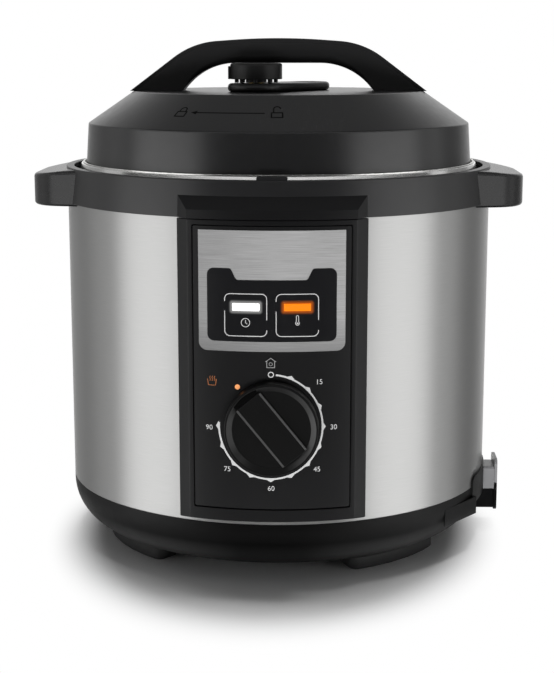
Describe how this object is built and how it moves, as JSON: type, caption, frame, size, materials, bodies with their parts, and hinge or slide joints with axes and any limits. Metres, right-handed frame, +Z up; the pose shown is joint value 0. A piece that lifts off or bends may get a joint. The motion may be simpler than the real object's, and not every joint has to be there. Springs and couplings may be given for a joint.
{
  "type": "electric pressure cooker",
  "caption": "Drum-shaped electric pressure cooker with a bayonet lid and arched handle, side grips, brushed steel body and a front panel with lamps and a dial timer.",
  "frame": {"origin": "centre of the circle that the four feet stand on, at counter level", "axes": "+Z up, the control panel faces -Y, +X to the right of someone facing the panel"},
  "size_m": [0.336, 0.3241, 0.3419],
  "materials": {
    "black_plastic": "satin moulded black",
    "gloss_black": "smooth black",
    "foot_rubber": "matt black",
    "brushed_steel": "fine brushed",
    "zinc_steel": "zinc plated",
    "aluminium": "plain",
    "pot_coating": "dark non-stick coating",
    "silicone": "translucent white",
    "brass": "turned",
    "inner_plastic": "plain moulded",
    "circuit_board": "solder resist",
    "clear_plastic": "translucent grey plastic",
    "white_lens": "lit lamp lens",
    "orange_lens": "lit lamp lens"
  },
  "bodies": {
    "housing": {"base": "black_plastic", "collar": "black_plastic", "left_grip": "black_plastic", "right_grip": "black_plastic", "panel_frame": "black_plastic", "inlet_body": "black_plastic", "panel_fascia": "gloss_black", "display_window": "gloss_black", "feet": "foot_rubber", "outer_shell": "brushed_steel", "display_plate": "brushed_steel", "locking_ring": "brushed_steel", "bottom_cover": "zinc_steel", "base_screws": "zinc_steel", "bracket_screws": "zinc_steel", "grip_screws": "zinc_steel", "ring_screws": "zinc_steel", "support_bracket": "zinc_steel", "sensor_guide": "zinc_steel", "heating_element": "zinc_steel", "outer_pot": "aluminium", "heating_plate": "aluminium", "thermal_fuse": "aluminium", "inlet_pins": "brass", "pressure_switch": "inner_plastic", "timer_case": "inner_plastic", "lamp_board": "circuit_board", "inlet_cover": "clear_plastic", "power_lens": "white_lens", "heat_lens": "orange_lens"},
    "pot": {"inner_pot": "pot_coating"},
    "seal": {"sealing_ring": "silicone"},
    "lid": {"lid_cover": "black_plastic", "inner_lid": "brushed_steel", "seal_rack": "brushed_steel", "handle_lower": "black_plastic", "handle_upper": "black_plastic", "handle_screws": "zinc_steel", "valve_plate": "black_plastic", "vent_pipe": "brass", "vent_nut": "zinc_steel", "vent_shield": "brushed_steel"},
    "valve": {"valve_knob": "black_plastic", "valve_needle": "brass"},
    "float": {"float_pin": "aluminium", "float_seal": "silicone"},
    "sensor": {"sensor_cap": "aluminium"},
    "knob": {"timer_knob": "black_plastic", "timer_shaft": "zinc_steel"},
    "cup": {"drip_cup": "clear_plastic"}
  },
  "joints": [
    {"name": "lid_lift", "type": "slide", "parent": "housing", "child": "seal", "axis": [0, 0, 1], "range_m": [0, 0.4]},
    {"name": "lid_twist", "type": "hinge", "parent": "seal", "child": "lid", "pos_m": [0, 0, 0.26], "axis": [0, 0, 1], "range_deg": [-36, 0]},
    {"name": "pot_lift", "type": "slide", "parent": "housing", "child": "pot", "axis": [0, 0, 1], "range_m": [0, 0.2]},
    {"name": "valve_turn", "type": "hinge", "parent": "lid", "child": "valve", "pos_m": [-0.014, -0.031, 0.315], "axis": [0, 0, 1], "range_deg": [-50, 50]},
    {"name": "float_rise", "type": "slide", "parent": "lid", "child": "float", "axis": [0, 0, 1], "range_m": [0, 0.005]},
    {"name": "sensor_press", "type": "slide", "parent": "housing", "child": "sensor", "axis": [0, 0, 1], "range_m": [-0.002, 0], "stiffness_N_per_m": 500, "springref_m": 0.002},
    {"name": "knob_turn", "type": "hinge", "parent": "housing", "child": "knob", "pos_m": [0, -0.15, 0.1064], "axis": [0, 1, 0], "range_deg": [0, 309]},
    {"name": "cup_slide", "type": "slide", "parent": "housing", "child": "cup", "axis": [0, 1, 0], "range_m": [0, 0.04]}
  ],
  "couplings": [
    {"joint": "pot_lift", "follows": "lid_lift", "ratio": 0.5}
  ]
}
